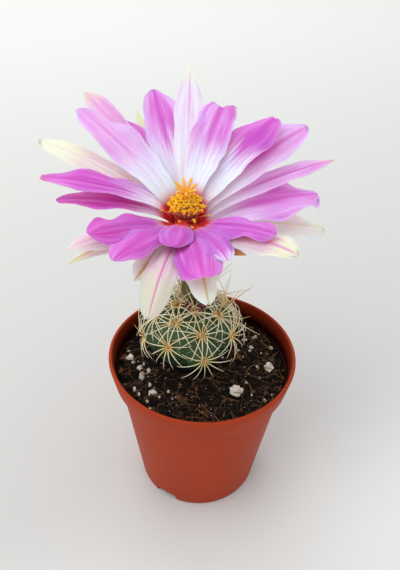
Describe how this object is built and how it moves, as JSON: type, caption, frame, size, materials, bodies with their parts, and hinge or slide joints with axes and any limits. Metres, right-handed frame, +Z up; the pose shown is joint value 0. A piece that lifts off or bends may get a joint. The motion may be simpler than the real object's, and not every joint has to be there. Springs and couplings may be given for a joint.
{
  "type": "potted round cactus",
  "caption": "Small round spiny cactus in bloom, with one wide pink flower on a slim tube, growing in a tapered terracotta-coloured plastic nursery pot of potting mix.",
  "frame": {"origin": "the pot's axis at foot level, in the middle of its flat base", "axes": "+Z up along the pot's axis; -Y is the front, towards which the flower tilts; +X to the right seen from the front"},
  "size_m": [0.0829, 0.0783, 0.1197],
  "materials": {
    "pot_plastic": "satin moulded terracotta-coloured plastic",
    "potting_mix": "rough dark peat with bark and fibres",
    "perlite": "rough off-white grains",
    "stem_skin": "matte green plant skin",
    "spines": "ivory to amber spines",
    "tube_skin": "olive green with scales",
    "petals": "satin pink petal, white at the foot",
    "sepals": "cream outer petal with a greenish midrib",
    "anthers": "powdery yellow",
    "stigma": "waxy yellow"
  },
  "bodies": {
    "root": {"pot": "pot_plastic", "soil": "potting_mix", "perlite_grain_1": "perlite", "perlite_grain_2": "perlite", "perlite_grain_3": "perlite", "perlite_grain_4": "perlite", "cactus_stem": "stem_skin", "spine_cluster_01": "spines", "spine_cluster_02": "spines", "spine_cluster_03": "spines", "spine_cluster_04": "spines", "spine_cluster_05": "spines", "spine_cluster_06": "spines", "spine_cluster_07": "spines", "spine_cluster_08": "spines", "spine_cluster_09": "spines", "spine_cluster_10": "spines", "spine_cluster_11": "spines", "spine_cluster_12": "spines", "spine_cluster_13": "spines", "spine_cluster_14": "spines", "spine_cluster_15": "spines", "spine_cluster_16": "spines", "spine_cluster_17": "spines", "spine_cluster_18": "spines", "spine_cluster_19": "spines", "spine_cluster_20": "spines", "flower_tube": "tube_skin", "petal_back_left": "petals", "petal_back_notched": "petals", "petal_back_right": "petals", "petal_back_right_low": "petals", "petal_back_tall": "petals", "petal_folded_tip": "petals", "petal_front": "petals", "petal_front_hanging": "petals", "petal_front_left": "petals", "petal_front_right_short": "petals", "petal_front_short": "petals", "petal_left": "petals", "petal_left_cream": "petals", "petal_left_frilled": "petals", "petal_left_front": "petals", "petal_left_front_pale": "petals", "petal_left_long_upper": "petals", "petal_left_low": "petals", "petal_right_back": "petals", "petal_right_cream": "petals", "petal_right_front": "petals", "petal_right_front_cream": "petals", "petal_right_narrow": "petals", "petal_right_toothed": "petals", "sepal_back_left": "sepals", "sepal_front": "sepals", "sepal_front_left": "sepals", "sepal_front_right": "sepals", "sepal_left_front": "sepals", "stamens": "anthers", "pistil": "stigma"}
  },
  "joints": []
}
